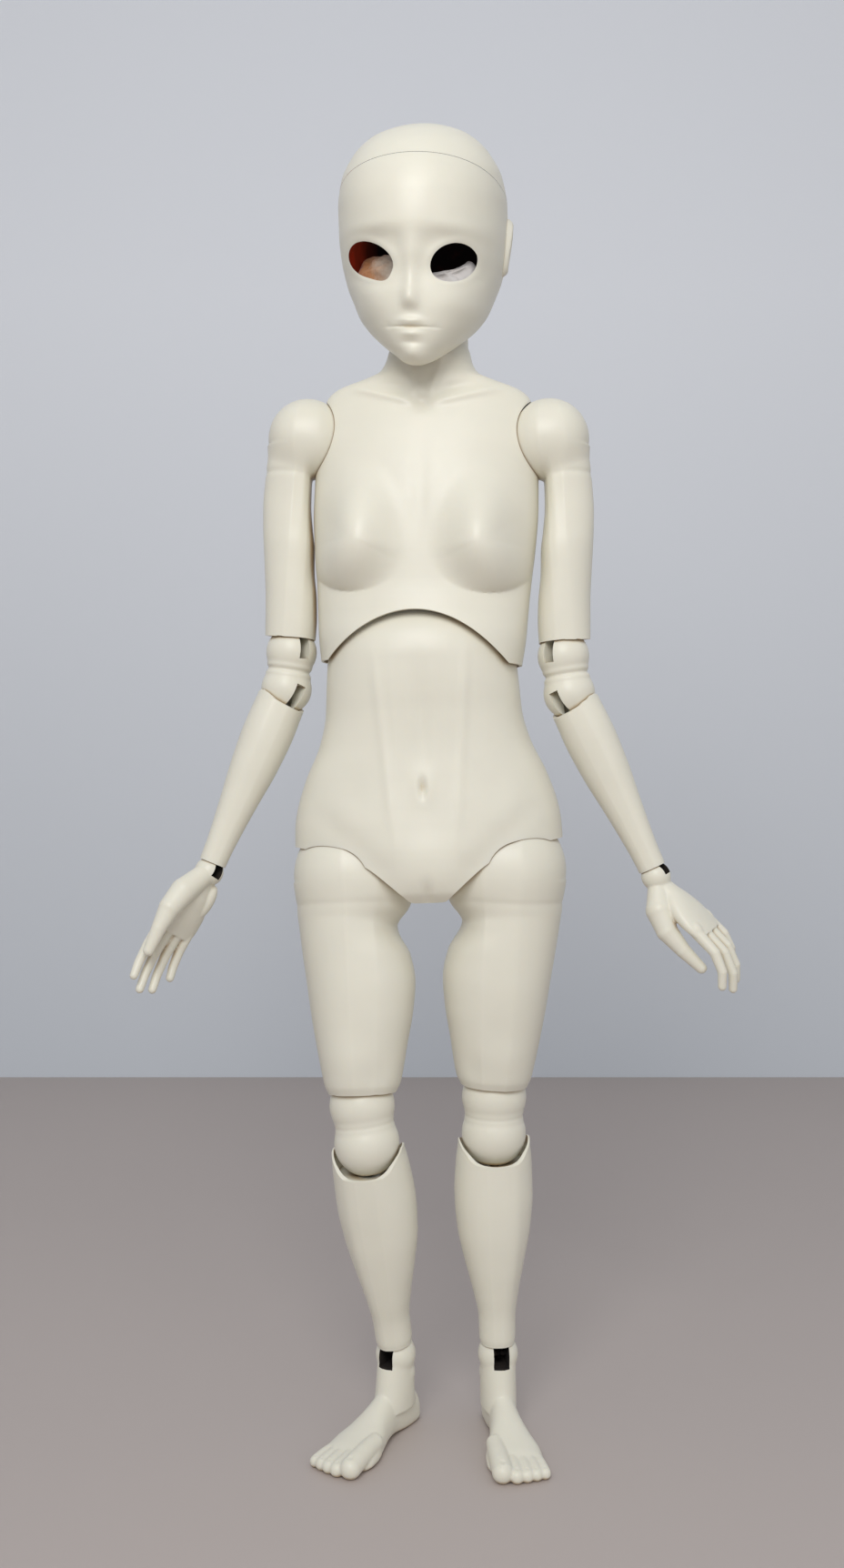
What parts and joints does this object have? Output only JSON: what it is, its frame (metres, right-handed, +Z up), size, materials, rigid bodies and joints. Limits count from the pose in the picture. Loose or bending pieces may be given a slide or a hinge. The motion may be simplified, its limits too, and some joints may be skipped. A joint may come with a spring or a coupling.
{
  "type": "ball jointed doll",
  "caption": "Standing bald doll of cream printed shells that turn on balls and are strung together with elastic cord.",
  "frame": {"origin": "on the ground under the middle of the bounding box", "axes": "+Z up, the doll faces -Y and its left side is +X"},
  "size_m": [0.1804, 0.0646, 0.409],
  "materials": {
    "printed_shell": "cream resin print, matt satin with fine print lines",
    "elastic_cord": "black round elastic",
    "hook_steel": "bent wire, dull",
    "wadding_fibre": "crumpled off-white and brown wadding"
  },
  "bodies": {
    "lower_torso": {"lower_torso": "printed_shell", "body_cord_right": "elastic_cord", "body_cord_left": "elastic_cord"},
    "waist_bend_bead": {"waist_cord_bend": "elastic_cord"},
    "waist_lead": {"waist_cord_lead": "elastic_cord"},
    "upper_torso": {"upper_torso": "printed_shell", "body_cord_chest": "elastic_cord", "arm_cord_chest": "elastic_cord"},
    "neck_bend_bead": {"neck_cord_bend": "elastic_cord"},
    "neck_lead": {"neck_cord_lead": "elastic_cord"},
    "head": {"head_shell": "printed_shell", "head_wadding": "wadding_fibre", "neck_hook": "hook_steel"},
    "head_cap": {"head_cap": "printed_shell"},
    "shoulder_bend_bead_right": {"shoulder_cord_bend_right": "elastic_cord"},
    "shoulder_lead_right": {"shoulder_cord_lead_right": "elastic_cord"},
    "upper_arm_right": {"upper_arm_right": "printed_shell", "upper_arm_cord_right": "elastic_cord"},
    "elbow_link_right": {"elbow_link_right": "printed_shell", "elbow_cord_right": "elastic_cord"},
    "forearm_right": {"forearm_right": "printed_shell", "forearm_cord_right": "elastic_cord"},
    "wrist_cord_end_right": {"wrist_cord_end_right": "elastic_cord"},
    "wrist_hook_right": {"wrist_hook_right": "hook_steel"},
    "hand_right": {"hand_right": "printed_shell"},
    "hip_bend_bead_right": {"hip_cord_bend_right": "elastic_cord"},
    "hip_lead_right": {"hip_cord_lead_right": "elastic_cord"},
    "thigh_right": {"thigh_right": "printed_shell", "thigh_cord_right": "elastic_cord"},
    "knee_link_right": {"knee_link_right": "printed_shell", "knee_cord_right": "elastic_cord"},
    "shin_right": {"shin_right": "printed_shell", "shin_cord_right": "elastic_cord"},
    "ankle_cord_end_right": {"ankle_cord_end_right": "elastic_cord"},
    "ankle_hook_right": {"ankle_hook_right": "hook_steel"},
    "foot_right": {"foot_right": "printed_shell"},
    "shoulder_bend_bead_left": {"shoulder_cord_bend_left": "elastic_cord"},
    "shoulder_lead_left": {"shoulder_cord_lead_left": "elastic_cord"},
    "upper_arm_left": {"upper_arm_left": "printed_shell", "upper_arm_cord_left": "elastic_cord"},
    "elbow_link_left": {"elbow_link_left": "printed_shell", "elbow_cord_left": "elastic_cord"},
    "forearm_left": {"forearm_left": "printed_shell", "forearm_cord_left": "elastic_cord"},
    "wrist_cord_end_left": {"wrist_cord_end_left": "elastic_cord"},
    "wrist_hook_left": {"wrist_hook_left": "hook_steel"},
    "hand_left": {"hand_left": "printed_shell"},
    "hip_bend_bead_left": {"hip_cord_bend_left": "elastic_cord"},
    "hip_lead_left": {"hip_cord_lead_left": "elastic_cord"},
    "thigh_left": {"thigh_left": "printed_shell", "thigh_cord_left": "elastic_cord"},
    "knee_link_left": {"knee_link_left": "printed_shell", "knee_cord_left": "elastic_cord"},
    "shin_left": {"shin_left": "printed_shell", "shin_cord_left": "elastic_cord"},
    "ankle_cord_end_left": {"ankle_cord_end_left": "elastic_cord"},
    "ankle_hook_left": {"ankle_hook_left": "hook_steel"},
    "foot_left": {"foot_left": "printed_shell"}
  },
  "joints": [
    {"name": "waist_bend", "type": "hinge", "parent": "lower_torso", "child": "waist_bend_bead", "pos_m": [-0.00212, 0.00658, 0.24523], "axis": [0.9942, -0.1045, -0.0262], "range_deg": [-5, 6]},
    {"name": "waist_side", "type": "hinge", "parent": "waist_bend_bead", "child": "waist_lead", "pos_m": [-0.00212, 0.00658, 0.24523], "axis": [0.1045, 0.9945, 0], "range_deg": [-3, 3]},
    {"name": "waist_turn", "type": "hinge", "parent": "waist_lead", "child": "upper_torso", "pos_m": [-0.00212, 0.00658, 0.24523], "axis": [0.026, -0.0027, 0.9997], "range_deg": [-2, 2]},
    {"name": "neck_nod", "type": "hinge", "parent": "upper_torso", "child": "neck_bend_bead", "pos_m": [0.00051, 0.00631, 0.34619], "axis": [0.9848, -0.1736, 0], "range_deg": [-14, 5]},
    {"name": "neck_tilt", "type": "hinge", "parent": "neck_bend_bead", "child": "neck_lead", "pos_m": [0.00051, 0.00631, 0.34619], "axis": [-0.1699, -0.9633, -0.2079], "range_deg": [-8, 8]},
    {"name": "neck_turn", "type": "hinge", "parent": "neck_lead", "child": "head", "pos_m": [0.00051, 0.00631, 0.34619], "axis": [-0.0241, -0.2069, 0.9781], "range_deg": [-30, 30]},
    {"name": "cap_lift", "type": "slide", "parent": "head", "child": "head_cap", "axis": [0.0325, 0.118, 0.9925], "range_m": [0, 0.03]},
    {"name": "shoulder_swing_right", "type": "hinge", "parent": "upper_torso", "child": "shoulder_bend_bead_right", "pos_m": [-0.03856, 0.01041, 0.31671], "axis": [-0.9942, 0.1045, 0.0262], "range_deg": [-18, 60]},
    {"name": "shoulder_lift_right", "type": "hinge", "parent": "shoulder_bend_bead_right", "child": "shoulder_lead_right", "pos_m": [-0.03856, 0.01041, 0.31671], "axis": [0.1045, 0.9945, 0], "range_deg": [0, 65]},
    {"name": "shoulder_turn_right", "type": "hinge", "parent": "shoulder_lead_right", "child": "upper_arm_right", "pos_m": [-0.03856, 0.01041, 0.31671], "axis": [-0.0802, 0.0175, -0.9966], "range_deg": [-15, 15]},
    {"name": "elbow_upper_right", "type": "hinge", "parent": "upper_arm_right", "child": "elbow_link_right", "pos_m": [-0.04405, 0.01161, 0.24844], "axis": [-0.7863, -0.6156, 0.0525], "range_deg": [0, 40]},
    {"name": "elbow_lower_right", "type": "hinge", "parent": "elbow_link_right", "child": "forearm_right", "pos_m": [-0.04571, 0.01171, 0.23666], "axis": [-0.7047, -0.6123, 0.3586], "range_deg": [0, 35]},
    {"name": "wrist_turn_right", "type": "hinge", "parent": "forearm_right", "child": "wrist_cord_end_right", "pos_m": [-0.06967, 0.00507, 0.17823], "axis": [0.3774, 0.1045, 0.9201], "range_deg": [-40, 40]},
    {"name": "wrist_tilt_right", "type": "hinge", "parent": "wrist_cord_end_right", "child": "wrist_hook_right", "pos_m": [-0.06967, 0.00507, 0.17823], "axis": [-0.6738, 0.6964, 0.2472], "range_deg": [-10, 10]},
    {"name": "wrist_bend_right", "type": "hinge", "parent": "wrist_hook_right", "child": "hand_right", "pos_m": [-0.06967, 0.00507, 0.17823], "axis": [0.551, 0.6964, -0.4599], "range_deg": [-45, 45]},
    {"name": "hip_bend_right", "type": "hinge", "parent": "lower_torso", "child": "hip_bend_bead_right", "pos_m": [-0.02299, 0.00749, 0.17687], "axis": [-0.9983, 0.0436, -0.0384], "range_deg": [-8, 35]},
    {"name": "hip_side_right", "type": "hinge", "parent": "hip_bend_bead_right", "child": "hip_lead_right", "pos_m": [-0.02299, 0.00749, 0.17687], "axis": [0.0436, 0.999, 0], "range_deg": [0, 30]},
    {"name": "hip_turn_right", "type": "hinge", "parent": "hip_lead_right", "child": "thigh_right", "pos_m": [-0.02299, 0.00749, 0.17687], "axis": [0.0312, -0.1226, -0.992], "range_deg": [-20, 20]},
    {"name": "knee_upper_right", "type": "hinge", "parent": "thigh_right", "child": "knee_link_right", "pos_m": [-0.02075, -0.00134, 0.10545], "axis": [0.9769, -0.2063, 0.0562], "range_deg": [0, 50]},
    {"name": "knee_lower_right", "type": "hinge", "parent": "knee_link_right", "child": "shin_right", "pos_m": [-0.01923, -0.00205, 0.09397], "axis": [0.9741, -0.2059, 0.0939], "range_deg": [0, 50]},
    {"name": "ankle_turn_right", "type": "hinge", "parent": "shin_right", "child": "ankle_cord_end_right", "pos_m": [-0.0104, 0.00786, 0.02402], "axis": [-0.1241, -0.1392, 0.9825], "range_deg": [-25, 25]},
    {"name": "ankle_tilt_right", "type": "hinge", "parent": "ankle_cord_end_right", "child": "ankle_hook_right", "pos_m": [-0.0104, 0.00786, 0.02402], "axis": [0.5299, 0.848, 0], "range_deg": [-8, 8]},
    {"name": "ankle_bend_right", "type": "hinge", "parent": "ankle_hook_right", "child": "foot_right", "pos_m": [-0.0104, 0.00786, 0.02402], "axis": [0.848, -0.5299, 0], "range_deg": [-20, 20]},
    {"name": "shoulder_swing_left", "type": "hinge", "parent": "upper_torso", "child": "shoulder_bend_bead_left", "pos_m": [0.03799, 0.00237, 0.31469], "axis": [-0.9942, 0.1045, 0.0262], "range_deg": [-18, 60]},
    {"name": "shoulder_lift_left", "type": "hinge", "parent": "shoulder_bend_bead_left", "child": "shoulder_lead_left", "pos_m": [0.03799, 0.00237, 0.31469], "axis": [-0.1045, -0.9945, 0], "range_deg": [0, 65]},
    {"name": "shoulder_turn_left", "type": "hinge", "parent": "shoulder_lead_left", "child": "upper_arm_left", "pos_m": [0.03799, 0.00237, 0.31469], "axis": [-0.068, 0, 0.9977], "range_deg": [-15, 15]},
    {"name": "elbow_upper_left", "type": "hinge", "parent": "upper_arm_left", "child": "elbow_link_left", "pos_m": [0.04265, 0.00237, 0.24635], "axis": [-0.7414, 0.6691, -0.0505], "range_deg": [0, 40]},
    {"name": "elbow_lower_left", "type": "hinge", "parent": "elbow_link_left", "child": "forearm_left", "pos_m": [0.04451, 0.00237, 0.2346], "axis": [-0.6587, 0.6682, -0.3458], "range_deg": [0, 35]},
    {"name": "wrist_turn_left", "type": "hinge", "parent": "forearm_left", "child": "wrist_cord_end_left", "pos_m": [0.07131, -0.00096, 0.17713], "axis": [-0.422, 0.0523, 0.9051], "range_deg": [-40, 40]},
    {"name": "wrist_tilt_left", "type": "hinge", "parent": "wrist_cord_end_left", "child": "wrist_hook_left", "pos_m": [0.07131, -0.00096, 0.17713], "axis": [0.6713, -0.5704, 0.4733], "range_deg": [-10, 10]},
    {"name": "wrist_bend_left", "type": "hinge", "parent": "wrist_hook_left", "child": "hand_left", "pos_m": [0.07131, -0.00096, 0.17713], "axis": [-0.5358, -0.8147, -0.222], "range_deg": [-45, 45]},
    {"name": "hip_bend_left", "type": "hinge", "parent": "lower_torso", "child": "hip_bend_bead_left", "pos_m": [0.02393, 0.00545, 0.17868], "axis": [-0.9983, 0.0436, -0.0384], "range_deg": [-8, 35]},
    {"name": "hip_side_left", "type": "hinge", "parent": "hip_bend_bead_left", "child": "hip_lead_left", "pos_m": [0.02393, 0.00545, 0.17868], "axis": [-0.0436, -0.999, 0], "range_deg": [0, 30]},
    {"name": "hip_turn_left", "type": "hinge", "parent": "hip_lead_left", "child": "thigh_left", "pos_m": [0.02393, 0.00545, 0.17868], "axis": [0.0419, 0, 0.9991], "range_deg": [-20, 20]},
    {"name": "knee_upper_left", "type": "hinge", "parent": "thigh_left", "child": "knee_link_left", "pos_m": [0.02091, 0.00545, 0.10674], "axis": [0.9967, 0.0698, -0.0418], "range_deg": [0, 50]},
    {"name": "knee_lower_left", "type": "hinge", "parent": "knee_link_left", "child": "shin_left", "pos_m": [0.02081, 0.00545, 0.09514], "axis": [0.9973, 0.0697, 0.0233], "range_deg": [0, 50]},
    {"name": "ankle_turn_left", "type": "hinge", "parent": "shin_left", "child": "ankle_cord_end_left", "pos_m": [0.0223, 0.00793, 0.024], "axis": [-0.0209, -0.0349, 0.9992], "range_deg": [-25, 25]},
    {"name": "ankle_tilt_left", "type": "hinge", "parent": "ankle_cord_end_left", "child": "ankle_hook_left", "pos_m": [0.0223, 0.00793, 0.024], "axis": [-0.1564, 0.9877, 0], "range_deg": [-8, 8]},
    {"name": "ankle_bend_left", "type": "hinge", "parent": "ankle_hook_left", "child": "foot_left", "pos_m": [0.0223, 0.00793, 0.024], "axis": [0.9877, 0.1564, 0], "range_deg": [-20, 20]}
  ]
}
